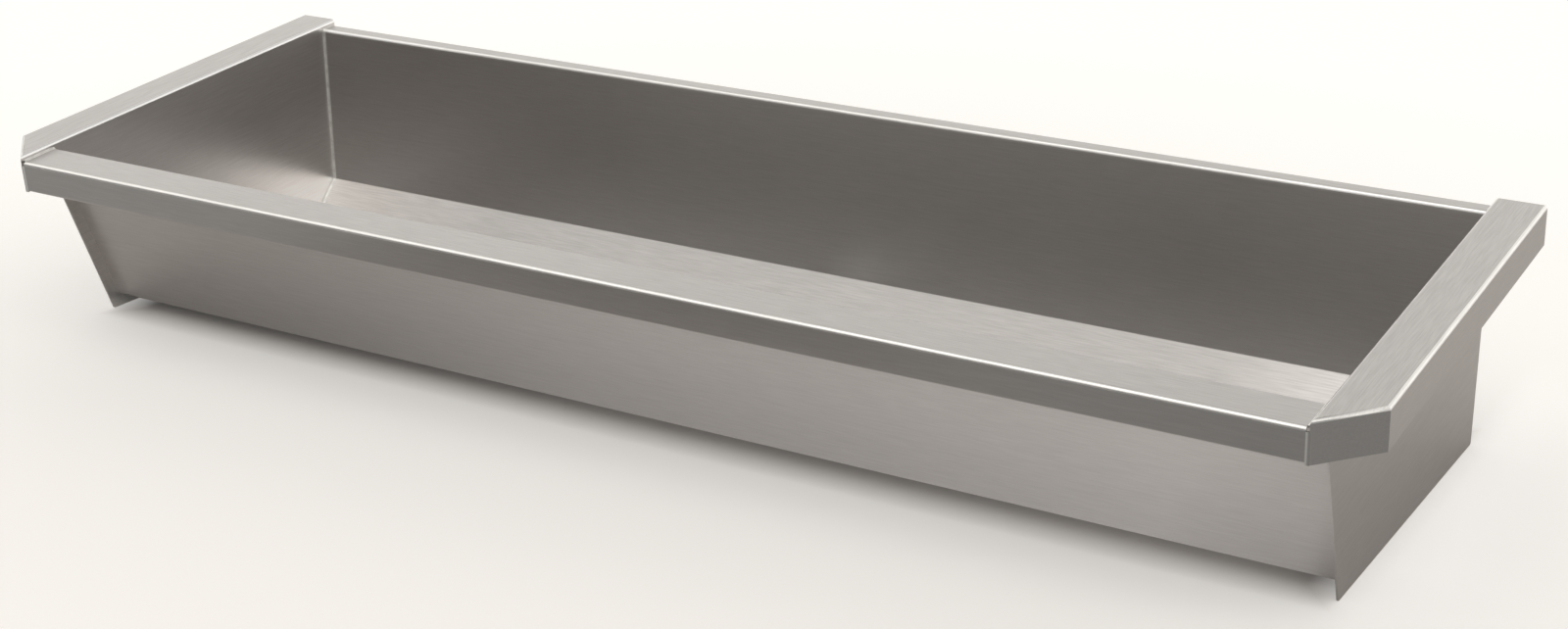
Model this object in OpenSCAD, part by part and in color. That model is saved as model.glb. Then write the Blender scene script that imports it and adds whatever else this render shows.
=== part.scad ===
// Wall-hung wash trough in stainless sheet, about 1200 x 404 mm.
// One folded basin sheet is welded between two flanged end panels. It hangs on two wall brackets,
// leans on two rubber buffers and drains through a screwed waste in its lowest strip of floor.
// X runs along the trough, Y points at the wall and Z points up. The origin lies on the wall,
// at the centre of the four wall fixing holes.

/* [Overall size] */
// Length over the outer faces of the two end flanges
overall_l = 1200; // [1000:10:1800]
// Depth from the wall to the face of the front apron
overall_d = 404; // [390:1:440]
// Height of the rim above the centre of the wall fixing holes
rim_height = 70; // [66:1:76]

/* [Sheet] */
// Thickness of the basin sheet and of the end panels
sheet_t = 1.5; // [1.2:0.1:2]
// Inside radius of the folds
fold_r = 1.5; // [1.2:0.1:2.5]

/* [Basin] */
// Width of the front rim
rim_w = 37.5; // [34:0.5:42]
// Height of the front apron and of the end fascias below the rim
apron_h = 26.5; // [22:0.5:30]
// Width of the lip turned in under the front apron
apron_return_w = 12; // [9:0.5:16]
// Depth of the front wall below the rim
front_wall_h = 152; // [145:1:156]
// Lean of the front wall from upright, in degrees
front_wall_lean = 16.2; // [13:0.1:19]
// Fall of the floor towards the wall, in degrees
floor_fall = 5.1; // [4.5:0.1:6]
// Depth of the back wall below the rim
back_wall_h = 149.5; // [144:0.5:154]
// Lean of the back wall from upright, in degrees
back_wall_lean = 4.3; // [3:0.1:5]
// Slope of the bevel between the floor and the back wall, in degrees
bevel_slope = 41.3; // [38:0.1:46]
// Width of the flange behind the back wall
rear_flange_w = 15.5; // [14.5:0.5:18]
// Height of the lip turned down behind that flange
rear_lip_h = 15; // [12:0.5:17]
// Gap between that lip and the wall
wall_gap = 1.25; // [1:0.05:1.5]

/* [End panels] */
// Width of the flange at each end
end_flange_w = 38.5; // [35:0.5:42]
// Height of the end flanges above the rim
end_step = 5.2; // [4.4:0.1:6]
// Length of the cut-off front corners, measured along the depth
corner_cut = 39; // [35:0.5:44]
// Margin by which each end plate stands out in front of the front wall
plate_front_margin = 10.3; // [8:0.1:13]
// Margin by which each end plate reaches below the floor
plate_bottom_margin = 11.3; // [9:0.1:14]
// Margin by which each end plate stands out behind the back wall
plate_rear_margin = 4.5; // [3:0.1:6]
// Lean of the rear edge of each end plate from upright, in degrees
plate_rear_lean = 2.8; // [2:0.1:3.6]
// Rounding of the lower corners of each end plate
plate_corner_r = 2; // [1:0.5:4]

/* [Welds] */
// Width of the ground weld along the basin surface at each end
weld_w = 2.4; // [1.8:0.1:3]
// Width of the upright weld on the apron at each front corner
corner_weld_w = 2.5; // [2:0.1:3]
// Width by which that weld laps round onto the cut-off corner
corner_weld_lap = 1.6; // [1.2:0.1:3]

/* [Waste outlet] */
// Distance from the lowest fold line of the floor to the waste axis
waste_from_fold = 54; // [51:1:80]
// Radius of the hole through the floor
waste_hole_r = 27; // [26:0.5:28]
// Depth of the pressed recess round the waste
recess_depth = 4; // [3.5:0.1:5]
// Thickness of the strainer plate
strainer_t = 1.5; // [1.2:0.1:2]
// Radius of the drain holes in the strainer
drain_hole_r = 2.25; // [1.8:0.05:2.6]
// Thickness of the seal above the floor
upper_seal_t = 2; // [1.5:0.1:2.4]
// Thickness of the seal below the floor
lower_seal_t = 3; // [2:0.5:4]
// Outside radius of the threaded tail
tail_r = 23.9; // [23.5:0.1:24.5]
// Bore radius of the tail
tail_bore_r = 20; // [19:0.5:21]
// Length of the threaded tail
tail_l = 32; // [25:1:45]
// Radius of the clamping screw
waste_screw_r = 3; // [2.5:0.1:3.4]

/* [Wall brackets] */
// Distance from each end of the trough to the middle of its wall bracket
bracket_inset = 200; // [150:5:250]
// Width of each wall bracket
bracket_w = 70; // [60:1:90]
// Thickness of the bracket plate
bracket_t = 3; // [2.5:0.1:3.5]
// Height between the two wall holes of one bracket
fixing_pitch = 50; // [44:1:54]
// Radius of the wall holes
fixing_hole_r = 4.5; // [3.5:0.1:5.5]
// Radius of the rubber buffers
buffer_r = 15; // [14:0.5:17]
// Depth of the buffers' centre below the lower wall holes
buffer_drop = 30; // [28:1:34]
// Radius of the buffer screws
buffer_screw_r = 2.5; // [2:0.1:3]

/* [Earth tag] */
// Distance from the right end of the trough to the earth tag
earth_inset = 100; // [80:5:140]
// Width of the earth tag
earth_tag_w = 20; // [18:0.5:24]
// Thickness of the earth tag
earth_tag_t = 2; // [1.5:0.1:2.5]
// Radius of the earth bolt
earth_bolt_r = 3; // [2.5:0.1:3]

/* [Sound pads] */
// Thickness of the sound pads under the floor
pad_t = 2.5; // [2:0.1:4]
// Length of each sound pad
pad_l = 380; // [300:5:380]
// Width of each sound pad
pad_w = 190; // [150:5:200]

/* [Hidden] */

fold_steps = 8;
round_steps = 96;
overrun = 5;

steel = [0.66, 0.65, 0.63];
ground_steel = [0.9, 0.9, 0.88];
zinc = [0.72, 0.73, 0.74];
black_rubber = [0.12, 0.12, 0.12];
grey_rubber = [0.3, 0.3, 0.3];
pad_grey = [0.24, 0.24, 0.25];
chromed = [0.8, 0.8, 0.82];

// Plane geometry

function cross2(u, v) = u[0] * v[1] - u[1] * v[0];
function unit(v) = v / norm(v);
function left_of(v) = [-v[1], v[0]];
function right_of(v) = [v[1], -v[0]];
function turned(v, a) = [v[0] * cos(a) - v[1] * sin(a), v[0] * sin(a) + v[1] * cos(a)];
function crossing(p, u, q, v) = p + u * cross2(q - p, v) / cross2(u, v);
function reversed(list) = [for (i = [len(list) - 1:-1:0]) list[i]];

// Angle by which a path turns at b, positive to the left
function turn_at(a, b, c) = atan2(cross2(b - a, c - b), (b - a) * (c - b));

// Arc that rounds the corner b on the show face, or at a depth behind it
function fold_arc(a, b, c, thickness, inside_r, depth) =
    let(turn = turn_at(a, b, c),
        side = sign(turn),
        show_r = side > 0 ? inside_r : inside_r + thickness,
        along = unit(b - a),
        start = b - along * show_r * tan(abs(turn) / 2),
        centre = start + left_of(along) * side * show_r,
        arc_r = show_r + side * depth)
    [for (k = [0:fold_steps]) centre - turned(left_of(along) * side * arc_r, turn * k / fold_steps)];

// Face of a folded sheet at a depth behind its show face
function folded_face(path, thickness, inside_r, depth) =
    let(last = len(path) - 1)
    concat([path[0] + right_of(unit(path[1] - path[0])) * depth],
        [for (i = [1:last - 1]) each
            fold_arc(path[i - 1], path[i], path[i + 1], thickness, inside_r, depth)],
        [path[last] + right_of(unit(path[last] - path[last - 1])) * depth]);

// Closed section of a sheet whose show face follows the path, with the material on its right
function folded_section(path, thickness, inside_r) =
    concat(folded_face(path, thickness, inside_r, 0),
        reversed(folded_face(path, thickness, inside_r, thickness)));

// Closed outline with each corner rounded by its own radius
function rounded_outline(corners, radii) =
    let(n = len(corners))
    [for (i = [0:n - 1]) each
        let(a = corners[(i + n - 1) % n], b = corners[i], c = corners[(i + 1) % n])
        radii[i] > 0 ? fold_arc(a, b, c, 0, radii[i], 0) : [b]];

function rectangle(w, h) = [[-w / 2, -h / 2], [w / 2, -h / 2], [w / 2, h / 2], [-w / 2, h / 2]];

// Section of the basin sheet, as [depth, height] with the rim at height 0

inner_half = overall_l / 2 - end_flange_w;
front_y = -overall_d;
outer_fold_r = fold_r + sheet_t;

wall_dir = [sin(front_wall_lean), -cos(front_wall_lean)];
floor_dir = [cos(floor_fall), -sin(floor_fall)];
bevel_dir = [cos(bevel_slope), sin(bevel_slope)];
back_dir = [sin(back_wall_lean), cos(back_wall_lean)];

wall_top = [front_y + rim_w, 0];
wall_foot = wall_top + wall_dir * front_wall_h / cos(front_wall_lean);
back_top = [-wall_gap - rear_flange_w, 0];
back_foot = back_top - back_dir * back_wall_h / cos(back_wall_lean);
floor_low = crossing(wall_foot, floor_dir, back_foot, bevel_dir);

basin_path = [
    [front_y + apron_return_w, -apron_h],
    [front_y, -apron_h],
    [front_y, 0],
    wall_top,
    wall_foot,
    floor_low,
    back_foot,
    back_top,
    [-wall_gap, 0],
    [-wall_gap, -rear_lip_h]];

// Outline of an end plate, parallel to the outside of the basin

strip_foot = -apron_h;
plate_lap = outer_fold_r;
plate_top = strip_foot + plate_lap;
plate_front = wall_top + right_of(wall_dir) * (sheet_t + plate_front_margin);
plate_base = wall_foot + right_of(floor_dir) * (sheet_t + plate_bottom_margin);
back_outside = back_top + right_of(back_dir) * sheet_t;
back_at_strip = crossing(back_outside, back_dir, [0, strip_foot], [1, 0]);
plate_rear = back_at_strip + [plate_rear_margin, 0];
plate_rear_dir = [sin(plate_rear_lean), cos(plate_rear_lean)];

plate_corners = [
    crossing(plate_front, wall_dir, [0, plate_top], [1, 0]),
    crossing(plate_front, wall_dir, plate_base, floor_dir),
    crossing(plate_rear, plate_rear_dir, plate_base, floor_dir),
    crossing(plate_rear, plate_rear_dir, [0, plate_top], [1, 0])];

// Plan of an end flange, from the end plate outwards

flange_plan = [
    [inner_half, front_y],
    [overall_l / 2, front_y + corner_cut],
    [overall_l / 2, 0],
    [inner_half, 0]];
cut_dir = unit(flange_plan[1] - flange_plan[0]);
cut_inside = flange_plan[0] + left_of(cut_dir) * sheet_t;
plate_outside_x = inner_half + sheet_t;
fascia_inside_x = overall_l / 2 - sheet_t;
hollow_plan = [
    crossing(cut_inside, cut_dir, [plate_outside_x, 0], [0, 1]),
    crossing(cut_inside, cut_dir, [fascia_inside_x, 0], [0, 1]),
    [fascia_inside_x, overrun],
    [plate_outside_x, overrun]];

// Placing

module at_rim() translate([0, 0, rim_height]) children();
module along_x(length) rotate([90, 0, 90]) linear_extrude(height = length) children();
module both_ends() for (side = [0, 1]) mirror([side, 0, 0]) children();

// Plan with its first, second and last sides moved inwards; the third one is the open rear
function inset_plan(plan, d) =
    let(n = len(plan),
        along = [for (i = [0:n - 1]) unit(plan[(i + 1) % n] - plan[i])],
        start = [for (i = [0:n - 1]) plan[i] + left_of(along[i]) * (i == 2 ? 0 : d)])
    [for (i = [0:n - 1])
        let(last = (i + n - 1) % n)
        crossing(start[last], along[last], start[i], along[i])];

// Prism on a plan, its top edges rounded as folds are, but for the one at the rear
module folded_block(plan, top, foot, r) {
    n = len(plan);
    levels = concat([[foot, 0]], [for (k = [0:fold_steps])
        let(a = 90 * k / fold_steps)
        [top - r + r * sin(a), r * (1 - cos(a))]]);
    points = [for (level = levels, p = inset_plan(plan, level[1])) [p[0], p[1], level[0]]];
    sides = [for (i = [0:len(levels) - 2], k = [0:n - 1])
        let(a = i * n + k, b = i * n + (k + 1) % n)
        [a, a + n, b + n, b]];
    base = [for (k = [0:n - 1]) k];
    lid = reversed([for (k = base) k + n * (len(levels) - 1)]);
    polyhedron(points, concat([base], sides, [lid]));
}

// Basin

seat_w = 14;
recess_flat_r = waste_hole_r + seat_w;
recess_slope_w = recess_depth;
recess_rim_w = outer_fold_r;
recess_r = recess_flat_r + recess_slope_w + recess_rim_w;
recess_path = [
    [waste_hole_r, -recess_depth],
    [recess_flat_r, -recess_depth],
    [recess_flat_r + recess_slope_w, 0],
    [recess_r, 0]];

waste_at = floor_low - floor_dir * waste_from_fold;

module at_waste() {
    at_rim() translate([0, waste_at[0], waste_at[1]]) rotate([-floor_fall, 0, 0]) children();
}

module trough_body() color(steel) {
    difference() {
        union() {
            difference() {
                at_rim() translate([-inner_half, 0, 0]) along_x(2 * inner_half)
                    polygon(folded_section(basin_path, sheet_t, fold_r));
                at_waste() cylinder(r = recess_r, h = 4 * sheet_t, center = true, $fn = round_steps);
            }
            at_waste() rotate_extrude($fn = round_steps)
                polygon(folded_section(recess_path, sheet_t, fold_r));
        }
        both_ends() corner_notch();
    }
}

// Notch at each end of the apron, where the upright weld sits
module corner_notch() {
    translate([inner_half - corner_weld_w, front_y - overrun, rim_height - apron_h - overrun])
        cube([corner_weld_w + overrun, overrun + outer_fold_r, apron_h + 2 * overrun]);
}

// End panels

module end_panel() {
    at_rim() {
        difference() {
            folded_block(flange_plan, end_step, strip_foot, outer_fold_r);
            folded_block(hollow_plan, end_step - sheet_t, strip_foot - overrun, fold_r);
        }
        translate([inner_half, 0, 0]) along_x(sheet_t)
            polygon(rounded_outline(plate_corners, [0, plate_corner_r, plate_corner_r, 0]));
    }
}

module right_end_panel() color(steel) end_panel();

module left_end_panel() color(steel) mirror([1, 0, 0]) end_panel();

// Ground welds along the inside of the basin

weld_rise_share = 0.8;
weld_hollow_share = 0.35;
weld_rise = fold_r * weld_rise_share;
weld_path = concat([[front_y + outer_fold_r, 0]],
    [for (i = [3:7]) basin_path[i]],
    [[-wall_gap - outer_fold_r, 0]]);
weld_foot = folded_face(weld_path, sheet_t, fold_r, 0);
weld_crest = folded_face(weld_path, sheet_t, fold_r, -weld_rise);

// Ring of four points: corner, foot on the basin, hollow of the fillet, crest on the end plate
function weld_ring(i) =
    let(foot = weld_foot[i], crest = weld_crest[i],
        hollow = foot + (crest - foot) * weld_hollow_share)
    [[inner_half, foot[0], foot[1]],
        [inner_half - weld_w, foot[0], foot[1]],
        [inner_half - weld_w * weld_hollow_share, hollow[0], hollow[1]],
        [inner_half, crest[0], crest[1]]];

module end_weld() {
    count = len(weld_foot);
    ring = 4;
    points = [for (i = [0:count - 1]) each weld_ring(i)];
    sides = [for (i = [0:count - 2], k = [0:ring - 1])
        let(a = i * ring + k, b = i * ring + (k + 1) % ring)
        each [[a, b, b + ring], [a, b + ring, a + ring]]];
    start_cap = [[0, 2, 1], [0, 3, 2]];
    end_cap = [for (face = start_cap) reversed([for (v = face) v + (count - 1) * ring])];
    at_rim() polyhedron(points, concat(sides, start_cap, end_cap));
}

module right_end_weld() color(ground_steel) end_weld();

module left_end_weld() color(ground_steel) mirror([1, 0, 0]) end_weld();

// Upright welds at the front corners, rounded from the apron over onto the cut-off corner

corner_weld_crown_share = 0.07;
corner_weld_top = -outer_fold_r;

module corner_weld() {
    seam = [corner_weld_w, 0];
    lap_end = seam + cut_dir * corner_weld_lap;
    outwards = unit([0, -1] + right_of(cut_dir));
    crest = seam + outwards * corner_weld_w * corner_weld_crown_share;
    pull = 2 * crest - lap_end / 2;
    face = [for (k = [0:fold_steps])
        let(t = k / fold_steps)
        pull * 2 * t * (1 - t) + lap_end * t * t];
    at_rim() translate([inner_half - corner_weld_w, front_y, strip_foot])
        linear_extrude(height = corner_weld_top - strip_foot)
            polygon(concat(face, [seam, [corner_weld_w, sheet_t], [0, sheet_t]]));
}

module right_corner_weld() color(ground_steel) corner_weld();

module left_corner_weld() color(ground_steel) mirror([1, 0, 0]) corner_weld();

// Waste outlet, clamped through the floor by one screw

seal_clear = 1.5;
seal_r = recess_flat_r - seal_clear;
strainer_r = seal_r + seal_clear / 2;
strainer_top = upper_seal_t + strainer_t - recess_depth;
dish_depth = 3;
dish_r = waste_hole_r - dish_depth;
dish_top = strainer_top - dish_depth;
screw_clear = 0.1;
screw_head_r = 1.7 * waste_screw_r;
screw_head_h = dish_depth;
slot_w_share = 0.25;
slot_depth_share = 0.5;
drain_ring_shares = [0.4, 0.63, 0.86];
drain_holes_first = 6;
seal_top = -recess_depth - sheet_t;
body_top = seal_top - lower_seal_t;
body_flange_t = 3;
body_flange_r = seal_r + seal_clear;
cup_r = waste_hole_r + seal_clear;
cup_wall = 3;
cup_h = 12;
tail_top = body_top - body_flange_t - cup_h;
tail_end = tail_top - tail_l;
tail_chamfer = 1.2;
hub_r = 2 * waste_screw_r;
hub_h = 10;
hub_top = tail_top + hub_h / 2;
arm_t = 3;
arm_h = 7;
arm_l = (tail_bore_r + tail_r) / 2;
screw_l = dish_top - hub_top + hub_h + arm_t;

module seal_ring(top, thickness) {
    at_waste() translate([0, 0, top - thickness]) difference() {
        cylinder(r = seal_r, h = thickness, $fn = round_steps);
        translate([0, 0, -overrun])
            cylinder(r = waste_hole_r + seal_clear, h = thickness + 2 * overrun, $fn = round_steps);
    }
}

module waste_upper_seal() color(black_rubber) seal_ring(upper_seal_t - recess_depth, upper_seal_t);

module waste_lower_seal() color(black_rubber) seal_ring(seal_top, lower_seal_t);

module waste_strainer() color(steel) {
    strainer_path = [
        [waste_screw_r + screw_clear, dish_top],
        [dish_r, dish_top],
        [waste_hole_r, strainer_top],
        [strainer_r, strainer_top]];
    at_waste() difference() {
        rotate_extrude($fn = round_steps)
            polygon(folded_section(strainer_path, strainer_t, fold_r / 2));
        for (ring = [0:len(drain_ring_shares) - 1]) {
            count = drain_holes_first * (ring + 1);
            for (k = [0:count - 1]) rotate([0, 0, 360 * k / count])
                translate([drain_ring_shares[ring] * dish_r, 0, dish_top - strainer_t - overrun])
                    cylinder(r = drain_hole_r, h = strainer_t + 2 * overrun, $fn = round_steps);
        }
    }
}

module waste_screw() color(chromed) {
    at_waste() difference() {
        union() {
            translate([0, 0, dish_top]) cylinder(r = screw_head_r, h = screw_head_h, $fn = round_steps);
            translate([0, 0, dish_top - screw_l])
                cylinder(r = waste_screw_r, h = screw_l + screw_head_h / 2, $fn = round_steps);
        }
        translate([-overrun - screw_head_r, -screw_head_r * slot_w_share / 2,
                dish_top + screw_head_h * slot_depth_share])
            cube([2 * overrun + 2 * screw_head_r, screw_head_r * slot_w_share, screw_head_h]);
    }
}

module waste_body() color(chromed) {
    shell = [
        [cup_r, body_top],
        [tail_bore_r, tail_top],
        [tail_bore_r, tail_end],
        [tail_r - tail_chamfer, tail_end],
        [tail_r, tail_end + tail_chamfer],
        [tail_r, tail_top - cup_wall],
        [cup_r + cup_wall, body_top - body_flange_t],
        [body_flange_r, body_top - body_flange_t],
        [body_flange_r, body_top]];
    at_waste() difference() {
        union() {
            rotate_extrude($fn = round_steps) polygon(shell);
            translate([0, 0, hub_top - hub_h]) cylinder(r = hub_r, h = hub_h, $fn = round_steps);
            for (k = [0:2]) rotate([0, 0, 120 * k + 90])
                translate([0, -arm_t / 2, hub_top - hub_h]) cube([arm_l, arm_t, arm_h]);
        }
        translate([0, 0, hub_top - hub_h - overrun])
            cylinder(r = waste_screw_r + screw_clear, h = hub_h + 2 * overrun, $fn = round_steps);
    }
}

// Wall brackets, hooked in behind the rear lip

lip_clear = 3;
hook_y = -wall_gap - sheet_t - fold_r;
jog_top = rim_height - rear_lip_h - lip_clear;
jog_slope_share = 1.5;
jog_h = jog_slope_share * -hook_y;
bracket_fold_r = bracket_t;
bracket_x = overall_l / 2 - bracket_inset;
bracket_top = rim_height - sheet_t;
buffer_z = -fixing_pitch / 2 - buffer_drop;
bracket_edge = 3;
bracket_foot = buffer_z - buffer_r - bracket_edge;
bracket_path = [
    [hook_y, bracket_top],
    [hook_y, jog_top],
    [0, jog_top - jog_h],
    [0, bracket_foot]];

module bracket() {
    difference() {
        translate([bracket_x - bracket_w / 2, 0, 0]) along_x(bracket_w)
            polygon(folded_section(bracket_path, bracket_t, bracket_fold_r));
        for (side = [-1, 1])
            wall_hole(side * fixing_pitch / 2, fixing_hole_r);
        wall_hole(buffer_z, buffer_screw_r + tap_clear);
    }
}

module wall_hole(z, r) {
    translate([bracket_x, overrun, z]) rotate([90, 0, 0])
        cylinder(r = r, h = bracket_t + 2 * overrun, $fn = round_steps);
}

module right_wall_bracket() color(zinc) bracket();

module left_wall_bracket() color(zinc) mirror([1, 0, 0]) bracket();

// Rubber buffers between the brackets and the back wall, each held by a sunk screw and washer

tap_clear = 0.05;
buffer_hole_clear = 0.2;
buffer_taper = 1.5;
buffer_seat_h = 8;
washer_r = 2.8 * buffer_screw_r;
washer_t = 1.5;
washer_clear = 0.5;
buffer_head_r = 1.8 * buffer_screw_r;
buffer_head_h = 1.3 * buffer_screw_r;
back_at_buffer = crossing(back_outside, back_dir, [0, buffer_z - rim_height], [1, 0]);
buffer_h = -back_at_buffer[0] - bracket_t;

module at_buffer() translate([bracket_x, -bracket_t, buffer_z]) rotate([90, 0, 0]) children();

module buffer() {
    stock_h = buffer_h + buffer_r * tan(back_wall_lean);
    at_buffer() difference() {
        cylinder(r1 = buffer_r, r2 = buffer_r - buffer_taper, h = stock_h, $fn = round_steps);
        translate([0, 0, buffer_seat_h])
            cylinder(r = washer_r + washer_clear, h = buffer_h, $fn = round_steps);
        translate([0, 0, -overrun])
            cylinder(r = buffer_screw_r + buffer_hole_clear, h = buffer_h, $fn = round_steps);
        translate([0, 0, buffer_h]) rotate([-back_wall_lean, 0, 0])
            translate([-2 * buffer_r, -2 * buffer_r, 0]) cube([4 * buffer_r, 4 * buffer_r, buffer_h]);
    }
}

module right_buffer() color(black_rubber) buffer();

module left_buffer() color(black_rubber) mirror([1, 0, 0]) buffer();

module buffer_washers() color(zinc) {
    both_ends() at_buffer() translate([0, 0, buffer_seat_h]) difference() {
        cylinder(r = washer_r, h = washer_t, $fn = round_steps);
        translate([0, 0, -overrun]) cylinder(r = buffer_screw_r + buffer_hole_clear,
            h = washer_t + 2 * overrun, $fn = round_steps);
    }
}

module buffer_screws() color(zinc) {
    head_z = buffer_seat_h + washer_t;
    both_ends() at_buffer() difference() {
        union() {
            translate([0, 0, head_z]) cylinder(r = buffer_head_r, h = buffer_head_h, $fn = round_steps);
            translate([0, 0, -bracket_t]) cylinder(r = buffer_screw_r,
                h = bracket_t + head_z + buffer_head_h / 2, $fn = round_steps);
        }
        translate([0, 0, head_z + buffer_head_h * slot_depth_share]) for (a = [0, 90])
            rotate([0, 0, a]) translate([-buffer_screw_r, -buffer_screw_r * slot_w_share / 2, 0])
                cube([2 * buffer_screw_r, buffer_screw_r * slot_w_share, overrun]);
    }
}

// Sound pads under the floor, one each side of the waste

pad_corner_r = 12;
pad_waste_gap = 30;
floor_run = norm(floor_low - wall_foot);
pad_shift = (floor_run - pad_w) / 2;

module sound_pad() {
    middle = wall_foot + floor_dir * (pad_shift + pad_w / 2) + right_of(floor_dir) * sheet_t;
    at_rim() translate([recess_r + pad_waste_gap + pad_l / 2, middle[0], middle[1]])
        rotate([-floor_fall, 0, 0]) translate([0, 0, -pad_t]) linear_extrude(height = pad_t)
            polygon(rounded_outline(rectangle(pad_l, pad_w), [for (i = [0:3]) pad_corner_r]));
}

module right_sound_pad() color(pad_grey) sound_pad();

module left_sound_pad() color(pad_grey) mirror([1, 0, 0]) sound_pad();

// Earth tag on the outside of the bevel, with its bolt, washers and nut

earth_base_l = 16;
earth_leg_l = 22;
earth_hole_clear = 0.25;
earth_hole_h = 13;
earth_washer_r = 2 * earth_bolt_r;
earth_washer_t = 1.2;
hex_r = 1.9 * earth_bolt_r;
head_h = 1.35 * earth_bolt_r;
nut_h = 1.65 * earth_bolt_r;
thread_clear = 0.05;
bolt_spare = 3;
bevel_middle = (floor_low + back_foot) / 2 + right_of(bevel_dir) * sheet_t;
earth_path = [
    [earth_base_l, 0],
    [0, 0],
    [0, earth_leg_l]];
nut_start = earth_tag_t + earth_washer_t;

// Frame with X up the slope of the bevel and Y away from its outside
module at_tag() {
    at_rim() translate([overall_l / 2 - earth_inset, bevel_middle[0], bevel_middle[1]])
        rotate([bevel_slope, 0, 0]) rotate([0, -90, 0]) rotate([0, 0, 90]) children();
}

module bolt_axis(start) {
    translate([start, earth_hole_h, 0]) rotate([0, 90, 0]) children();
}

module earth_tag() color(steel) {
    at_tag() difference() {
        translate([0, 0, -earth_tag_w / 2]) linear_extrude(height = earth_tag_w)
            polygon(folded_section(earth_path, earth_tag_t, earth_tag_t));
        bolt_axis(-overrun) cylinder(r = earth_bolt_r + earth_hole_clear,
            h = earth_tag_t + 2 * overrun, $fn = round_steps);
    }
}

module hexagon(height) {
    cylinder(r = hex_r, h = height, $fn = 6);
}

module earth_bolt() color(zinc) {
    at_tag() union() {
        bolt_axis(-earth_washer_t - head_h) hexagon(head_h);
        bolt_axis(-earth_washer_t - head_h / 2) cylinder(r = earth_bolt_r,
            h = head_h / 2 + earth_washer_t + nut_start + nut_h + bolt_spare, $fn = round_steps);
    }
}

module earth_washers() color(zinc) {
    at_tag() for (start = [-earth_washer_t, earth_tag_t]) bolt_axis(start) difference() {
        cylinder(r = earth_washer_r, h = earth_washer_t, $fn = round_steps);
        translate([0, 0, -overrun]) cylinder(r = earth_bolt_r + earth_hole_clear,
            h = earth_washer_t + 2 * overrun, $fn = round_steps);
    }
}

module earth_nut() color(zinc) {
    at_tag() bolt_axis(nut_start) difference() {
        hexagon(nut_h);
        translate([0, 0, -overrun]) cylinder(r = earth_bolt_r + thread_clear,
            h = nut_h + 2 * overrun, $fn = round_steps);
    }
}

trough_body();
left_end_panel();
right_end_panel();
left_end_weld();
right_end_weld();
left_corner_weld();
right_corner_weld();
waste_strainer();
waste_screw();
waste_upper_seal();
waste_lower_seal();
waste_body();
left_wall_bracket();
right_wall_bracket();
left_buffer();
right_buffer();
buffer_washers();
buffer_screws();
left_sound_pad();
right_sound_pad();
earth_tag();
earth_bolt();
earth_washers();
earth_nut();
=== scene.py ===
from math import radians, sin, cos, tan
import bpy
from mathutils import Vector, Matrix


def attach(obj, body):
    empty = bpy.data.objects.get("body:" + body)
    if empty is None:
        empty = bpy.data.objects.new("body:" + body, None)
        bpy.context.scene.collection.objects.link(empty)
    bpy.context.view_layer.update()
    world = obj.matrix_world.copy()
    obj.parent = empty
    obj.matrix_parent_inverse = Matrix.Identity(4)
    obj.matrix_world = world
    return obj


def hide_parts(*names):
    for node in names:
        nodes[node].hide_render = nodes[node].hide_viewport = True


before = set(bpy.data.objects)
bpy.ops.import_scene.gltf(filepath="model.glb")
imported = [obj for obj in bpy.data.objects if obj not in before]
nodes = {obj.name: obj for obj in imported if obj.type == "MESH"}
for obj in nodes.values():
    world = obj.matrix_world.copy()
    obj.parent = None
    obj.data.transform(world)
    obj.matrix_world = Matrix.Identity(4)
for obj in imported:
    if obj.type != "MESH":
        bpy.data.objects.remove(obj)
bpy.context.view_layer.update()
print("frame loaded:", len(nodes), "nodes")


# camera

photoView = {
    "place": (0.99452, -1.71288, 0.77626),  # metres, in the part's own frame
    "turn": (65.460, 2.575, 30.617),  # degrees about x, y, z
    "lens": 56.13,  # mm
    "sensor": 36,  # mm across
}


def addCamera():
    data = bpy.data.cameras.new("photoCamera")
    data.lens = photoView["lens"]
    data.sensor_width = photoView["sensor"]
    camera = bpy.data.objects.new("photoCamera", data)
    camera.location = photoView["place"]
    camera.rotation_euler = [radians(a) for a in photoView["turn"]]
    bpy.context.scene.collection.objects.link(camera)
    bpy.context.scene.camera = camera


# node helpers

# where a mix node has its two inputs and its result among its sockets
mixSockets = {"RGBA": ((6, 7), 2), "FLOAT": ((2, 3), 0)}

# parts of a noise's own range that are spread out
noiseWide = (0.3, 0.7)
noiseNarrow = (0.35, 0.65)


def addNode(tree, kind, **values):
    node = tree.nodes.new(kind)
    for name, value in values.items():
        setattr(node, name, value)
    return node


def link(tree, source, output, target, entry):
    tree.links.new(source.outputs[output], target.inputs[entry])


def feed(tree, value, entry):
    # an output is linked, a plain number or color is set
    if isinstance(value, bpy.types.NodeSocket):
        tree.links.new(value, entry)
    else:
        entry.default_value = value


def addMath(tree, operation, *values):
    node = addNode(tree, "ShaderNodeMath", operation=operation)
    for entry, value in zip(node.inputs, values):
        feed(tree, value, entry)
    return node.outputs["Value"]


def multiply(tree, *values):
    product = values[0]
    for value in values[1:]:
        product = addMath(tree, "MULTIPLY", product, value)
    return product


def spread(tree, value, low, high, first=0.0, last=1.0):
    # low to high becomes first to last, and stays there beyond
    node = addNode(tree, "ShaderNodeMapRange", clamp=True)
    feed(tree, value, node.inputs["Value"])
    names = ("From Min", "From Max", "To Min", "To Max")
    for name, number in zip(names, (low, high, first, last)):
        node.inputs[name].default_value = number
    return node.outputs["Result"]


def mix(tree, share, first, second, kind="RGBA"):
    node = addNode(tree, "ShaderNodeMix", data_type=kind)
    feed(tree, share, node.inputs["Factor"])
    entries, result = mixSockets[kind]
    for entry, value in zip(entries, (first, second)):
        feed(tree, value, node.inputs[entry])
    return node.outputs[result]


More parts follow.
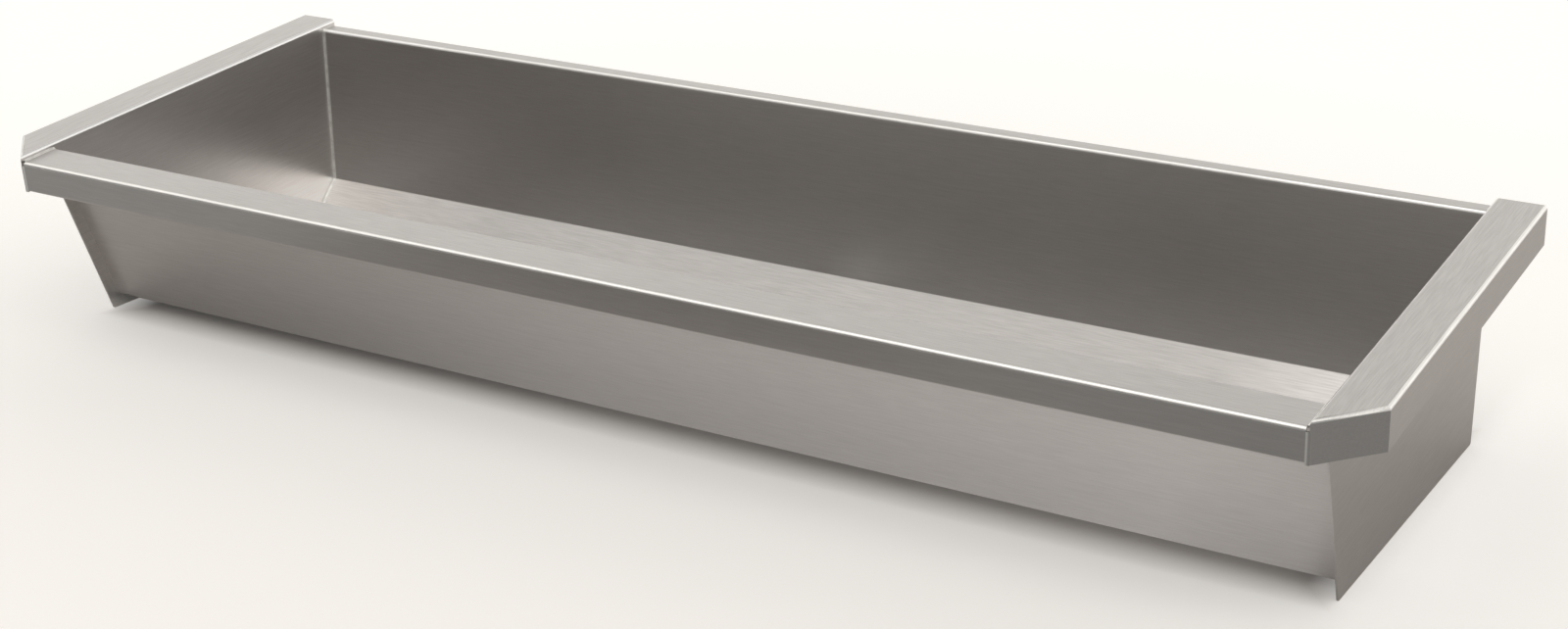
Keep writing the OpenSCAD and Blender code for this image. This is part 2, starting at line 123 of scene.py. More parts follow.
def scaleColor(tree, color, share):
    node = addNode(tree, "ShaderNodeVectorMath", operation="SCALE")
    feed(tree, color, node.inputs[0])
    feed(tree, share, node.inputs["Scale"])
    return node.outputs["Vector"]


def addRamp(tree, value, stops):
    # grey levels at their places, both from 0 to 1
    node = addNode(tree, "ShaderNodeValToRGB")
    elements = node.color_ramp.elements
    while len(elements) < len(stops):
        elements.new(0.5)  # moved to its place below
    for element, (place, level) in zip(elements, stops):
        element.position = place
        element.color = (level, level, level, 1)
    feed(tree, value, node.inputs["Fac"])
    return node.outputs["Color"]


def objectPlace(tree):
    # the point on the piece, and its x, y and z
    coordinates = addNode(tree, "ShaderNodeTexCoord")
    split = addNode(tree, "ShaderNodeSeparateXYZ")
    link(tree, coordinates, "Object", split, "Vector")
    return coordinates.outputs["Object"], split.outputs


def objectNoise(tree, perMetre, detail):
    # perMetre is one number, or one for each axis
    coordinates = addNode(tree, "ShaderNodeTexCoord")
    mapping = addNode(tree, "ShaderNodeMapping")
    if isinstance(perMetre, float):
        perMetre = (perMetre, perMetre, perMetre)
    mapping.inputs["Scale"].default_value = perMetre
    noise = addNode(tree, "ShaderNodeTexNoise")
    noise.inputs["Scale"].default_value = 1.0
    noise.inputs["Detail"].default_value = detail
    link(tree, coordinates, "Object", mapping, "Vector")
    link(tree, mapping, "Vector", noise, "Vector")
    return noise.outputs["Fac"]


def addBump(tree, height, distance, before=None):
    bump = addNode(tree, "ShaderNodeBump")
    bump.inputs["Strength"].default_value = 1.0
    bump.inputs["Distance"].default_value = distance
    tree.links.new(height, bump.inputs["Height"])
    if before:
        tree.links.new(before, bump.inputs["Normal"])
    return bump.outputs["Normal"]


def newMaterial(name):
    material = bpy.data.materials.new(name)
    material.use_nodes = True
    tree = material.node_tree
    shader = tree.nodes["Principled BSDF"]
    return material, tree, shader


def newMetal(name):
    material, tree, shader = newMaterial(name)
    shader.inputs["Metallic"].default_value = 1
    return material, tree, shader


def giveMaterial(obj, material):
    obj.data.materials.clear()
    obj.data.materials.append(material)


# sky, with one side behind the trough and one in front of it

sky = {
    "color": (1.0, 0.978, 0.935, 1),
    "seen": (0.992, 1.0, 0.955, 1),  # by the camera, at a strength of 1
    "sides": (-0.1, 0.3),  # y of the direction, from all front to all back
    "heights": (0.0, 0.1, 0.22, 0.4, 0.65, 0.82, 0.93, 1.0),  # sine of the elevation
    "back": (1.1, 1.15, 1.14, 1.00, 0.75, 0.30, 0.20, 0.25),  # strength at each height
    "front": (0.03, 0.03, 0.05, 0.35, 1.40, 1.10, 1.95, 1.1),
    "most": 2.5,  # strength that white stands for in the ramps
}


def skyRamp(tree, height, side):
    stops = [(at, level / sky["most"]) for at, level in zip(sky["heights"], sky[side])]
    return addRamp(tree, height, stops)


def addWorld():
    world = bpy.data.worlds.new("studioWhite")
    bpy.context.scene.world = world
    world.use_nodes = True
    tree = world.node_tree
    background = tree.nodes["Background"]
    direction = addNode(tree, "ShaderNodeSeparateXYZ")
    link(tree, addNode(tree, "ShaderNodeTexCoord"), "Generated", direction, "Vector")
    height = direction.outputs["Z"]
    share = spread(tree, direction.outputs["Y"], *sky["sides"])
    level = mix(tree, share, skyRamp(tree, height, "front"), skyRamp(tree, height, "back"))
    strength = multiply(tree, level, sky["most"])
    seen = addNode(tree, "ShaderNodeLightPath").outputs["Is Camera Ray"]
    tree.links.new(mix(tree, seen, strength, 1.0, "FLOAT"), background.inputs["Strength"])
    tree.links.new(mix(tree, seen, sky["color"], sky["seen"]), background.inputs["Color"])


# lamp overhead

softboxes = {
    "overhead": {"place": (0.0, -0.1, 2.4), "aim": (0, -0.2, 0), "size": (4.2, 3.0), "power": 1},
}


def pointAt(obj, target):
    direction = Vector(target) - obj.location
    obj.rotation_euler = direction.to_track_quat("-Z", "Y").to_euler()


def addSoftboxes():
    for name, box in softboxes.items():
        data = bpy.data.lights.new(name, "AREA")
        data.shape = "RECTANGLE"
        data.size, data.size_y = box["size"]
        data.energy = box["power"]
        lamp = bpy.data.objects.new(name, data)
        lamp.location = box["place"]
        bpy.context.scene.collection.objects.link(lamp)
        pointAt(lamp, box["aim"])
        lamp.visible_camera = False


# floor, tilted under the trough, which lies back on the bottom edges of its end plates

floorShape = {
    "tilt": 5.1,  # degrees
    "level": -0.0948,  # height and place of the floor's middle, under the plates' front ends
    "from": -0.3235,
    "size": 14.0,
}

# each pair of places is in metres from the floor's middle, where one tone starts to give way to another
# and where it has done so
floorLook = {
    "color": (0.63, 0.603, 0.58, 1),
    "roughness": 0.9,
    "fades": (0.45, 1.4),  # from near the trough to far from it
    "glow": (0.37, 0.47),  # whitening for the camera, near and far, weaker near the trough as a painted shade around it
    # warmer near the trough, in that painted shade
    "glowColor": ((1.0, 0.985, 0.965, 1), (0.95, 1.0, 0.99, 1)),
    "shadowFront": (0.008, -0.028),  # end of the shadow at the trough's foot
    "shadowBack": (0.30, 0.34),
    "shadowSides": (0.535, 0.565),
    "shadowGlow": 0.08,  # share of the whitening that is left in that shadow
    "paintedLightGlow": 0.11,  # painted light: more whitening on the ground beside the right end plate, which lifts its shade
    "paleFrom": (0.555, 0.58),  # across
    "paleTo": (0.60, 0.72),
    "paleReach": (0.62, 0.78),  # straight from the middle
    "paleFront": (-0.10, 0.06),  # from front to back
    "mirroredTone": 0.33,  # share of the floor's color that the metal sees further off in front
    "mirroredFar": (-0.12, -0.36),
    "stripFront": (-0.23, -0.09),  # brighter strip that only the front wall mirrors
    "stripSpan": 1.0,  # metres to either side
    "stripLevels": (
        (-0.65, 0.0), (-0.3, 0.13), (-0.05, 0.27), (0.15, 0.34), (0.42, 0.44), (0.53, 0.31), (0.56, 0.0),
    ),
}


def floorHeight(y):
    return floorShape["level"] - tan(radians(floorShape["tilt"])) * (y - floorShape["from"])


def whitening(tree, place, reach):
    # the ground's whitening, weaker near the trough as a painted shade, with less still in the shadow at
    # the trough's foot
    white = spread(tree, reach, *floorLook["fades"], *floorLook["glow"])
    ahead = spread(tree, place["Y"], *floorLook["shadowFront"])
    behind = spread(tree, place["Y"], *floorLook["shadowBack"])
    beside = spread(tree, addMath(tree, "ABSOLUTE", place["X"]), *floorLook["shadowSides"])
    clear = addMath(tree, "MAXIMUM", addMath(tree, "MAXIMUM", ahead, behind), beside)
    return multiply(tree, white, spread(tree, clear, 0.0, 1.0, floorLook["shadowGlow"], 1.0))


def paintedLightBesideEnd(tree, place, reach):
    # painted light on the ground beside the right end plate
    starts = spread(tree, place["X"], *floorLook["paleFrom"], 0.0, floorLook["paintedLightGlow"])
    ends = spread(tree, place["X"], *floorLook["paleTo"], 1.0, 0.0)
    around = spread(tree, reach, *floorLook["paleReach"], 1.0, 0.0)
    ahead = spread(tree, place["Y"], *floorLook["paleFront"])
    return multiply(tree, starts, ends, around, ahead)


def mirroredStrip(tree, place):
    span = floorLook["stripSpan"]
    stops = [((x + span) / (2 * span), level) for x, level in floorLook["stripLevels"]]
    strip = addRamp(tree, spread(tree, place["X"], -span, span), stops)
    return multiply(tree, strip, spread(tree, place["Y"], *floorLook["stripFront"]))


def clearFromBelow(tree, shader, seen):
    # from underneath the camera looks through the floor
    back = addNode(tree, "ShaderNodeNewGeometry").outputs["Backfacing"]
    either = addNode(tree, "ShaderNodeMixShader")
    tree.links.new(multiply(tree, back, seen), either.inputs["Fac"])
    link(tree, shader, "BSDF", either, 1)
    link(tree, addNode(tree, "ShaderNodeBsdfTransparent"), "BSDF", either, 2)
    link(tree, either, "Shader", tree.nodes["Material Output"], "Surface")


def floorMaterial():
    material, tree, shader = newMaterial("paleFloor")
    shader.inputs["Roughness"].default_value = floorLook["roughness"]
    point, place = objectPlace(tree)
    length = addNode(tree, "ShaderNodeVectorMath", operation="LENGTH")
    tree.links.new(point, length.inputs[0])
    reach = length.outputs["Value"]
    path = addNode(tree, "ShaderNodeLightPath").outputs
    seen = path["Is Camera Ray"]
    mirrored = addMath(tree, "ADD", path["Is Glossy Ray"], path["Is Transmission Ray"])

    # what glows for the camera, and what glows in the metal
    white = addMath(tree, "ADD", whitening(tree, place, reach), paintedLightBesideEnd(tree, place, reach))
    white = multiply(tree, white, seen)
    strip = multiply(tree, mirroredStrip(tree, place), mirrored)
    tree.links.new(addMath(tree, "ADD", strip, white), shader.inputs["Emission Strength"])
    # warmer tone of the painted shade near the trough
    glow = mix(tree, spread(tree, reach, *floorLook["fades"]), *floorLook["glowColor"])
    tree.links.new(glow, shader.inputs["Emission Color"])

    # floor tone, darker further off in what the metal mirrors
    drop = spread(tree, place["Y"], *floorLook["mirroredFar"], 0.0, 1 - floorLook["mirroredTone"])
    keep = addMath(tree, "SUBTRACT", 1.0, multiply(tree, drop, mirrored))
    tree.links.new(scaleColor(tree, floorLook["color"][:3], keep), shader.inputs["Base Color"])
    clearFromBelow(tree, shader, seen)
    return material


def addFloor():
    bpy.ops.object.select_all(action="DESELECT")
    bpy.ops.mesh.primitive_plane_add(size=floorShape["size"])
    floor = bpy.context.object
    floor.name = "studioFloor"
    floor.location = (0, floorShape["from"], floorShape["level"])
    floor.rotation_euler = (-radians(floorShape["tilt"]), 0, 0)
    giveMaterial(floor, floorMaterial())


# dark cards on the floor, which darken only what the metal mirrors

cardShape = {
    "corner": (-0.20, -0.86),  # both cards start here
    "size": (3.2, 2.4),
    "lift": 0.002,
    "roughness": 0.9,
}

# degrees that a card's long edge is turned, the side of that edge it lies on, and its grey
darkCards = {
    "frontCard": {"turn": 30.6, "side": -1, "tone": 0.36},
    "leftCard": {"turn": 137.6, "side": 1, "tone": 0.47},
}


def cardMaterial(name, tone):
    material, tree, shader = newMaterial(name)
    shader.inputs["Base Color"].default_value = (tone, tone, tone, 1)
    shader.inputs["Roughness"].default_value = cardShape["roughness"]
    return material


def addCards():
    length, width = cardShape["size"]
    x, y = cardShape["corner"]
    for name, card in darkCards.items():
        bpy.ops.object.select_all(action="DESELECT")
        bpy.ops.mesh.primitive_plane_add(size=1)
        plane = bpy.context.object
        plane.name = name
        turn = radians(card["turn"])
        out = card["side"] * width / 2
        middleX = x + cos(turn) * length / 2 - sin(turn) * out
        middleY = y + sin(turn) * length / 2 + cos(turn) * out
        height = floorHeight(middleY) + cardShape["lift"]
        lean = Matrix.Rotation(-radians(floorShape["tilt"]), 4, "X")
        flat = Matrix.Rotation(turn, 4, "Z") @ Matrix.Diagonal((length, width, 1, 1))
        plane.matrix_world = Matrix.Translation((middleX, middleY, height)) @ lean @ flat
        plane.visible_camera = False
        plane.visible_shadow = False
        plane.visible_diffuse = False
        giveMaterial(plane, cardMaterial(name, card["tone"]))


# satin sheet steel, where a noise is given as its patches per metre and its detail

steelLook = {
    "color": (0.52, 0.504, 0.494, 1),
    "foldHighlightColor": (0.93, 0.92, 0.905, 1),  # painted highlight on the rim's folds that face the front and the right, where the light catches them
    "roughness": 0.30,
    "edgeRoughness": 0.36,
    "grain": 900.0,  # streaks per metre across the grain, and along it
    "grainLength": 40.0,
    "grainDetail": 3.0,
    "grainDepth": 0.00002,
    "streak": (0.05, 0.095),  # of the tone, on upright faces and on faces that look up
    "slopeRoughness": 0.16,  # added where the floor turns up to the wall
    "reflectionSlope": (0.36, 0.555),  # metres from the middle, over which a painted reflection pales that slope towards the ends
    "reflectionEnds": (0.015, -0.075),  # heights between which a painted reflection of the basin pales the ends towards their weld
    "seamFrom": 0.5586,  # metres from the middle, where a painted highlight runs beside the end weld
    "seamFade": 0.0006,
    "seamHighlight": (0.92, 0.91, 0.89, 1),
    "seamRoughness": 0.24,
    "smudge": (7.0, 4.0),  # slightly duller patches
    "smudgeDepth": 0.02,
    "wave": (6.0, 1.0),  # faint unevenness of the flat sheet
    "waveHeight": 0.0004,
}

# axis that the grain runs along, tone of the faces that look into the basin, painted shade in the basin
# and painted light on the ends, and the paling of a painted reflection
sheetLooks = {
    "basinSteel": {"grainAxis": 0, "inside": 0.90, "paintedReflection": 0.65},
    "endSteel": {"grainAxis": 1, "inside": 1.36, "paintedReflection": 0.45},
}

# where each mask starts and where it is full, mostly parts of a face's direction
maskRanges = {
    "notFlat": (0.995, 0.97),
    "notUpright": (0.05, 0.2),
    "toFront": (-0.02, -0.08),
    "toRight": (0.02, 0.08),
    "onRim": (0.0655, 0.0665),  # height in the part's frame
    "inside": (0.03, 0.06),  # metres that the face looks towards the basin's middle
    "up": (0.3, 0.6),
}
basinMiddle = (0.0, -0.2, -0.05)


def faceMasks(tree):
    # folds of the rim that face the front and the right, which get a painted highlight, slope at the back
    # of the floor, faces into the basin, faces that look up
    point, place = objectPlace(tree)
    geometry = addNode(tree, "ShaderNodeNewGeometry")
    facing = addNode(tree, "ShaderNodeSeparateXYZ")
    link(tree, geometry, "Normal", facing, "Vector")
    offset = addNode(tree, "ShaderNodeVectorMath", operation="SUBTRACT")
    offset.inputs[0].default_value = basinMiddle
    tree.links.new(point, offset.inputs[1])
    towards = addNode(tree, "ShaderNodeVectorMath", operation="DOT_PRODUCT")
    link(tree, offset, "Vector", towards, 0)
    link(tree, geometry, "Normal", towards, 1)
    sources = {
        "notFlat": facing.outputs["Z"],
        "notUpright": facing.outputs["Z"],
        "toFront": facing.outputs["Y"],
        "toRight": facing.outputs["X"],
        "onRim": place["Z"],
        "inside": towards.outputs["Value"],
        "up": facing.outputs["Z"],
    }
    mask = {key: spread(tree, value, *maskRanges[key]) for key, value in sources.items()}
    turned = multiply(tree, mask["notFlat"], mask["notUpright"])
    # only folds towards the front and the right, where the light falls, get the painted highlight
    litSide = addMath(tree, "MAXIMUM", mask["toFront"], mask["toRight"])
    edge = multiply(tree, turned, litSide, mask["onRim"])
    slope = multiply(tree, turned, mask["toFront"], mask["inside"])
    return edge, slope, mask["inside"], mask["up"]


def weldZones(tree, name, slope, inside):
    # the seam's painted highlight, which only the basin has, and where a painted reflection pales the
    # sheet towards the welds
    place = objectPlace(tree)[1]
    if name == "endSteel":
        return None, multiply(tree, inside, spread(tree, place["Z"], *steelLook["reflectionEnds"]))
    side = addMath(tree, "ABSOLUTE", place["X"])
    start = steelLook["seamFrom"]
    seam = multiply(tree, spread(tree, side, start, start + steelLook["seamFade"]), inside)
    return seam, multiply(tree, slope, spread(tree, side, *steelLook["reflectionSlope"]))


def satinSteel(name):
    sheet = sheetLooks[name]
    material, tree, shader = newMetal(name)
    edge, slope, inside, up = faceMasks(tree)
    seam, paintedReflection = weldZones(tree, name, slope, inside)

    stretch = [steelLook["grain"]] * 3
    stretch[sheet["grainAxis"]] = steelLook["grainLength"]
    grain = objectNoise(tree, stretch, steelLook["grainDetail"])
    flat = addBump(tree, objectNoise(tree, *steelLook["wave"]), steelLook["waveHeight"])
    tree.links.new(addBump(tree, grain, steelLook["grainDepth"], flat), shader.inputs["Normal"])

    # color with its painted highlights, and how much lighter or darker it is by grain, by the painted
    # shade and light of the faces into the basin, and by painted reflection
    # painted highlight on the folds that face the light
    color = mix(tree, edge, steelLook["color"], steelLook["foldHighlightColor"])
    if seam:
        # painted highlight along the seam
        color = mix(tree, seam, color, steelLook["seamHighlight"])
    depth = spread(tree, up, 0.0, 1.0, *steelLook["streak"])
    streak = multiply(tree, spread(tree, grain, *noiseWide, -1.0, 1.0), depth)
    tone = addMath(tree, "ADD", 1.0, streak)
    # painted shade inside the basin, painted light inside the ends
    insidePaintedTone = spread(tree, inside, 0.0, 1.0, 1.0, sheet["inside"])
    # paler where a reflection is painted
    paler = spread(tree, paintedReflection, 0.0, 1.0, 1.0, 1 + sheet["paintedReflection"])
    tone = multiply(tree, tone, insidePaintedTone, paler)
    tree.links.new(scaleColor(tree, color, tone), shader.inputs["Base Color"])

    # roughness, more of it on the folds, the slope and the seam
    gloss = spread(tree, edge, 0.0, 1.0, steelLook["roughness"], steelLook["edgeRoughness"])
    gloss = addMath(tree, "ADD", gloss, multiply(tree, slope, steelLook["slopeRoughness"]))
    if seam:
        gloss = addMath(tree, "ADD", gloss, multiply(tree, seam, steelLook["seamRoughness"]))
    smudge = objectNoise(tree, *steelLook["smudge"])
    dull = spread(tree, smudge, *noiseWide, -steelLook["smudgeDepth"], steelLook["smudgeDepth"])
    tree.links.new(addMath(tree, "ADD", gloss, dull), shader.inputs["Roughness"])
    return material


# ground welds inside the basin, and welds at the apron's ends

weldLook = {
    # paler than the sheet, which paints the highlight along the weld
    "color": (0.94, 0.93, 0.91, 1),
    "shade": (0.78, 0.77, 0.75, 1),
    "shadeRange": (0.35, 0.6),  # of the ripple's noise, from shade to color
    "roughness": 0.56,
    "scratches": (1400.0, 2.0),  # from the grinding disc
    "scratchDepth": 0.00003,
    "ripple": (160.0, 2.0),
    "rippleDepth": 0.00010,
}

cornerWeldLook = {
    "color": (0.50, 0.485, 0.475, 1),
    "seamHighlight": (0.86, 0.85, 0.83, 1),
    "seamFrom": 0.5610,  # metres from the middle, where the apron ends; nearer the middle the bead gets a painted highlight
    "seamFade": 0.0008,
    "roughness": 0.34,
}


def groundWeld():
    material, tree, shader = newMetal("groundWeld")
    shader.inputs["Roughness"].default_value = weldLook["roughness"]
    scratches = objectNoise(tree, *weldLook["scratches"])
    ripple = objectNoise(tree, *weldLook["ripple"])
    low = addBump(tree, ripple, weldLook["rippleDepth"])
    tree.links.new(addBump(tree, scratches, weldLook["scratchDepth"], low), shader.inputs["Normal"])
    share = spread(tree, ripple, *weldLook["shadeRange"])
    tree.links.new(mix(tree, share, weldLook["shade"], weldLook["color"]), shader.inputs["Base Color"])
    return material


def cornerWeldSteel():
    look = cornerWeldLook
    material, tree, shader = newMetal("cornerWeldSteel")
    shader.inputs["Roughness"].default_value = look["roughness"]
    side = addMath(tree, "ABSOLUTE", objectPlace(tree)[1]["X"])
    # painted highlight on the bead up to the apron's end
    share = spread(tree, side, look["seamFrom"] - look["seamFade"], look["seamFrom"], 1.0, 0.0)
    tree.links.new(mix(tree, share, look["color"], look["seamHighlight"]), shader.inputs["Base Color"])
    scratches = objectNoise(tree, *weldLook["scratches"])
    tree.links.new(addBump(tree, scratches, weldLook["scratchDepth"]), shader.inputs["Normal"])
    return material


# metals with a fine uneven skin: color, second color, patches per metre, roughness, its change, skin depth

metalLooks = {
    "polishedSteel": ((0.74, 0.73, 0.72, 1), (0.66, 0.65, 0.64, 1), 260.0, 0.20, 0.06, 0.00001),
    "chromePlate": ((0.80, 0.80, 0.82, 1), (0.72, 0.72, 0.74, 1), 130.0, 0.12, 0.05, 0.00002),
    "zincFastener": ((0.74, 0.75, 0.76, 1), (0.60, 0.62, 0.62, 1), 420.0, 0.34, 0.05, 0.00002),
    "tagSteel": ((0.62, 0.61, 0.59, 1), (0.54, 0.53, 0.51, 1), 340.0, 0.34, 0.05, 0.00003),
}
skinDetail = 4.0


def skinnedMetal(name):
    color, second, patches, roughness, change, depth = metalLooks[name]
    material, tree, shader = newMetal(name)
    skin = objectNoise(tree, patches, skinDetail)
    share = spread(tree, skin, *noiseNarrow)
    tree.links.new(mix(tree, share, color, second), shader.inputs["Base Color"])
    gloss = spread(tree, skin, *noiseWide, roughness - change, roughness + change)
    tree.links.new(gloss, shader.inputs["Roughness"])
    tree.links.new(addBump(tree, skin, depth), shader.inputs["Normal"])
    return material


# hot-dip zinc of the brackets

zincLook = {
    "color": (0.62, 0.63, 0.64, 1),
    "crystal": (0.50, 0.51, 0.53, 1),
    "crystals": 85.0,  # per metre, about 12 mm across
    "roughness": (0.34, 0.52),
    "skin": (900.0, 2.0),
    "skinDepth": 0.00003,
}


def zincSheet():
    material, tree, shader = newMetal("zincSheet")
    cells = addNode(tree, "ShaderNodeTexVoronoi")
    cells.inputs["Scale"].default_value = zincLook["crystals"]
    tree.links.new(objectPlace(tree)[0], cells.inputs["Vector"])
    tone = addNode(tree, "ShaderNodeSeparateColor")
    link(tree, cells, "Color", tone, "Color")
    color = mix(tree, tone.outputs["Red"], zincLook["color"], zincLook["crystal"])
    tree.links.new(color, shader.inputs["Base Color"])
    gloss = spread(tree, tone.outputs["Green"], 0.0, 1.0, *zincLook["roughness"])
    tree.links.new(gloss, shader.inputs["Roughness"])
    skin = objectNoise(tree, *zincLook["skin"])
    tree.links.new(addBump(tree, skin, zincLook["skinDepth"]), shader.inputs["Normal"])
    return material


# rubber and felt: color, bloom color, grain per metre, grain depth, roughness

rubberLooks = {
    "sealRubber": ((0.020, 0.020, 0.021, 1), (0.040, 0.040, 0.042, 1), 700.0, 0.00006, 0.62),
    "bufferRubber": ((0.024, 0.024, 0.024, 1), (0.055, 0.054, 0.052, 1), 500.0, 0.00010, 0.74),
    "padFelt": ((0.055, 0.055, 0.058, 1), (0.115, 0.115, 0.118, 1), 380.0, 0.00035, 0.90),
}

# the bloom lies in broad patches, so many times coarser than the grain, and is never less than this share
bloom = {"coarser": 12, "detail": 3.0, "least": 0.4}


def rubber(name):
    color, bloomColor, grain, depth, roughness = rubberLooks[name]
    material, tree, shader = newMaterial(name)
    shader.inputs["Roughness"].default_value = roughness
    fine = objectNoise(tree, grain, skinDetail)
    broad = objectNoise(tree, grain / bloom["coarser"], bloom["detail"])
    patches = spread(tree, broad, *noiseWide, bloom["least"], 1.0)
    share = multiply(tree, spread(tree, fine, *noiseNarrow), patches)
    tree.links.new(mix(tree, share, color, bloomColor), shader.inputs["Base Color"])
    tree.links.new(addBump(tree, fine, depth), shader.inputs["Normal"])
    return material


# dressing of the CAD nodes: finish, material slot and the angle below which edges are shaded round

nodeFinish = {
    "trough_body": ("basinSteel", "basin_steel", 40),
    "end_panel": ("endSteel", "basin_steel", 40),
    "end_weld": ("groundWeld", "ground_weld", 35),
    "corner_weld": ("cornerWeld", "ground_weld", 40),
    "waste_strainer": ("polishedSteel", "waste_steel", 40),
    "waste_screw": ("chromePlate", "chromed_brass", 40),
    "waste_body": ("chromePlate", "chromed_brass", 40),
    "waste_upper_seal": ("sealRubber", "seal_rubber", 40),
    "waste_lower_seal": ("sealRubber", "seal_rubber", 40),
    "wall_bracket": ("zincSheet", "zinc_plate", 40),
    "buffer_washers": ("zincFastener", "zinc_fastener", 40),
    "buffer_screws": ("zincFastener", "zinc_fastener", 40),
    "buffer": ("bufferRubber", "buffer_rubber", 40),
    "sound_pad": ("padFelt", "pad_rubber", 40),
    "earth_tag": ("tagSteel", "tag_steel", 40),
    "earth_": ("zincFastener", "zinc_fastener", 25),
}
mergeDistance = 0.000002  # metres

finishes = {
    "groundWeld": groundWeld(),
    "cornerWeld": cornerWeldSteel(),
    "zincSheet": zincSheet(),
    **{name: satinSteel(name) for name in sheetLooks},
    **{name: skinnedMetal(name) for name in metalLooks},
    **{name: rubber(name) for name in rubberLooks},
}
print("materials made:", len(finishes))


def finishOf(name):
    for part, look in nodeFinish.items():
        if part in name:
            return look


def onlySelect(piece):
    bpy.ops.object.select_all(action="DESELECT")
    piece.select_set(True)
    bpy.context.view_layer.objects.active = piece


def roundShaded(name, angle):
    # a merged copy of the node, shaded round over its folds and flat on its flats
    piece = nodes[name].copy()
    piece.data = nodes[name].data.copy()
    piece.name = name + "_dressed"
    bpy.context.scene.collection.objects.link(piece)
    onlySelect(piece)
    bpy.ops.mesh.customdata_custom_splitnormals_clear()
    bpy.ops.object.mode_set(mode="EDIT")
    bpy.ops.mesh.select_all(action="SELECT")
    bpy.ops.mesh.remove_doubles(threshold=mergeDistance)
    bpy.ops.object.mode_set(mode="OBJECT")
    bpy.ops.object.shade_smooth_by_angle(angle=radians(angle))
    even = piece.modifiers.new("even", "WEIGHTED_NORMAL")
    even.keep_sharp = True
    bpy.ops.object.modifier_apply(modifier="even")
    return piece


def dressNodes():
    for name in sorted(nodes):
        finish, slotName, angle = finishOf(name)
        piece = roundShaded(name, angle)
        if name == "waste_body":
            turnDownTail(piece)
        giveMaterial(piece, finishes[finish])
        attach(piece, "root")
        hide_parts(name)
    print("nodes dressed:", len(nodes))


# thread of the waste's tail, in metres along and around the waste's axis

wasteFrame = {
    "place": (0.0, -0.1115053, -0.1008165),  # where the axis meets the floor of the basin
    "fall": 5.1,  # degrees the axis leans, square to that floor
}

tailThread = {
    "radius": 0.0239,  # over the crests
    "root": 0.0225,
    "within": 0.022,  # the tail's outside lies further out than this
    "tail": (-0.0562, -0.026),  # stretch that is turned down, measured from the basin's floor
    "from": -0.0542,  # lower end of the thread, measured alike
    "turns": 11,
    "pitch": 0.00231,
    "crest": 0.0007,  # width of the flat on each crest
    "base": 0.0021,
    "sink": 0.0003,  # depth of the rib's foot inside the tail
    "steps": 64,  # faces in each turn
    "endHalf": 0.0004,  # the rib's end is looked for so far to either side
    "runOut": 0.93,  # share of the radius at both ends, where the thread runs out into the tail
    "roundBelow": 30,  # degrees
}


def wasteMatrix():
    lean = Matrix.Rotation(-radians(wasteFrame["fall"]), 4, "X")
    return Matrix.Translation(wasteFrame["place"]) @ lean


def settle(piece, matrix):
    piece.matrix_world = matrix
    onlySelect(piece)
    bpy.ops.object.transform_apply(location=True, rotation=True, scale=True)


def selectPoints(piece, wanted):
    onlySelect(piece)
    bpy.ops.object.mode_set(mode="EDIT")
    bpy.ops.mesh.select_mode(type="VERT")
    bpy.ops.mesh.select_all(action="DESELECT")
    bpy.ops.object.mode_set(mode="OBJECT")
    for point in piece.data.vertices:
        point.select = wanted(point.co)
    bpy.ops.object.mode_set(mode="EDIT")


def turnDownTail(piece):
    # the tail is turned down to the root of the thread before the thread is cut
    low, high = tailThread["tail"]

    def onTail(point):
        return low < point.z < high and point.xy.length > tailThread["within"]

    settle(piece, wasteMatrix().inverted())
    selectPoints(piece, onTail)
    share = tailThread["root"] / tailThread["radius"]
    bpy.ops.transform.resize(value=(share, share, 1), center_override=(0, 0, 0))
    bpy.ops.object.mode_set(mode="OBJECT")
    settle(piece, wasteMatrix())


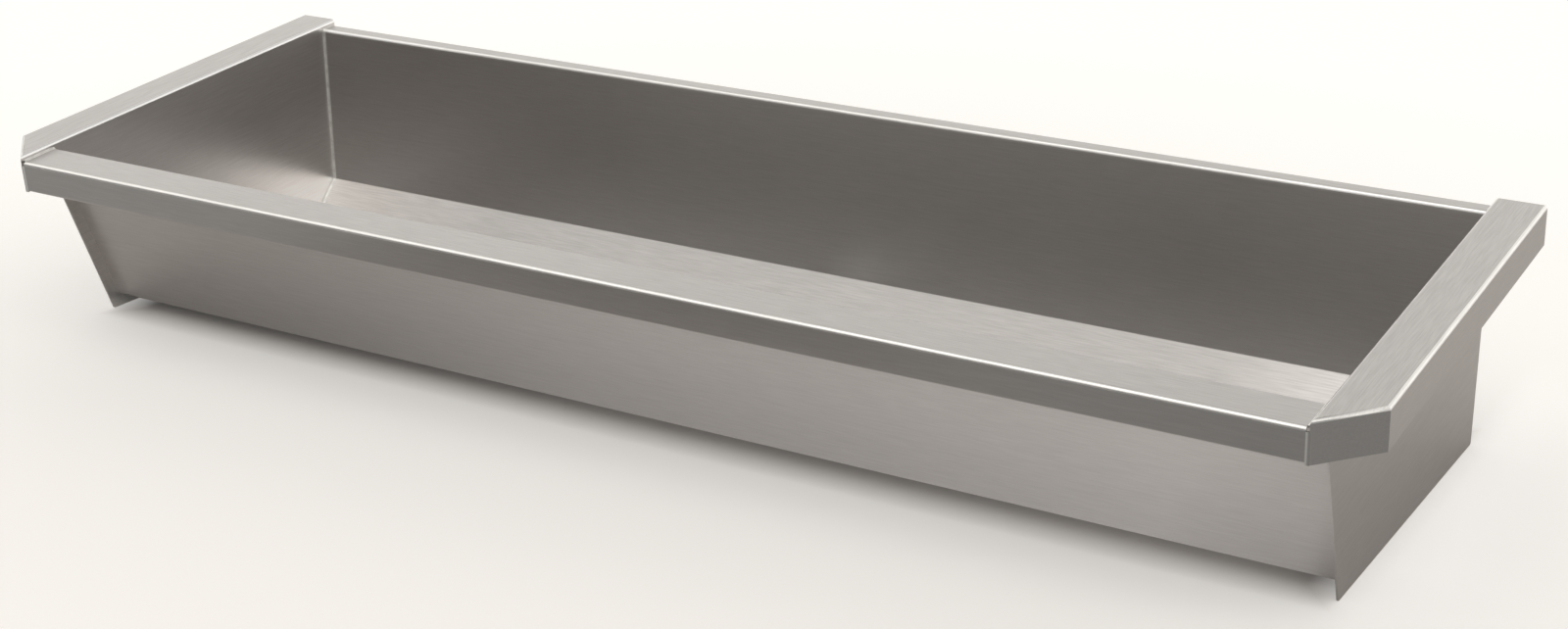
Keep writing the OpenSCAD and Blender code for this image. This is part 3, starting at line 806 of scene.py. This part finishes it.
def threadSection():
    # the outline of the rib at its lower end, narrower at the crest than at the foot
    bpy.ops.object.select_all(action="DESELECT")
    depth = tailThread["radius"] - tailThread["root"] + tailThread["sink"]
    bpy.ops.mesh.primitive_plane_add(size=1, rotation=(radians(90), 0, 0))
    piece = bpy.context.object
    piece.name = "tail_thread"
    piece.scale = (depth, tailThread["base"], 1)
    piece.location = (tailThread["radius"] - depth / 2, 0, tailThread["from"])
    bpy.ops.object.transform_apply(location=True, rotation=True, scale=True)
    selectPoints(piece, lambda point: point.x > tailThread["root"])
    narrower = (1, 1, tailThread["crest"] / tailThread["base"])
    bpy.ops.transform.resize(value=narrower, center_override=(0, 0, tailThread["from"]))
    bpy.ops.mesh.select_all(action="SELECT")
    bpy.ops.mesh.delete(type="ONLY_FACE")
    bpy.ops.object.mode_set(mode="OBJECT")
    return piece


def windThread(piece):
    wind = piece.modifiers.new("wind", "SCREW")
    wind.axis = "Z"
    wind.angle = radians(360)
    wind.screw_offset = tailThread["pitch"]
    wind.iterations = tailThread["turns"]
    wind.steps = tailThread["steps"]
    wind.render_steps = tailThread["steps"]
    wind.use_smooth_shade = True
    onlySelect(piece)
    bpy.ops.object.modifier_apply(modifier="wind")
    bpy.ops.object.mode_set(mode="EDIT")
    bpy.ops.mesh.select_all(action="SELECT")
    bpy.ops.mesh.fill_holes(sides=4)  # closes both ends of the four-sided rib
    bpy.ops.mesh.normals_make_consistent(inside=False)
    bpy.ops.object.mode_set(mode="OBJECT")


def runOutThread(piece, end):
    def atEnd(point):
        near = abs(point.z - end) < tailThread["pitch"] / 2
        return near and point.x > 0 and abs(point.y) < tailThread["endHalf"]

    selectPoints(piece, atEnd)
    bpy.ops.transform.resize(value=(tailThread["runOut"], 1, 1), center_override=(0, 0, end))
    bpy.ops.object.mode_set(mode="OBJECT")


def addTailThread():
    piece = threadSection()
    windThread(piece)
    runOutThread(piece, tailThread["from"])
    runOutThread(piece, tailThread["from"] + tailThread["pitch"] * tailThread["turns"])
    bpy.ops.object.shade_smooth_by_angle(angle=radians(tailThread["roundBelow"]))
    settle(piece, wasteMatrix())
    giveMaterial(piece, finishes["chromePlate"])
    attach(piece, "root")
    print("tail thread wound")


addCamera()
addWorld()
addSoftboxes()
addFloor()
addCards()
print("studio ready")
dressNodes()
addTailThread()
bpy.context.scene.view_settings.view_transform = "Standard"
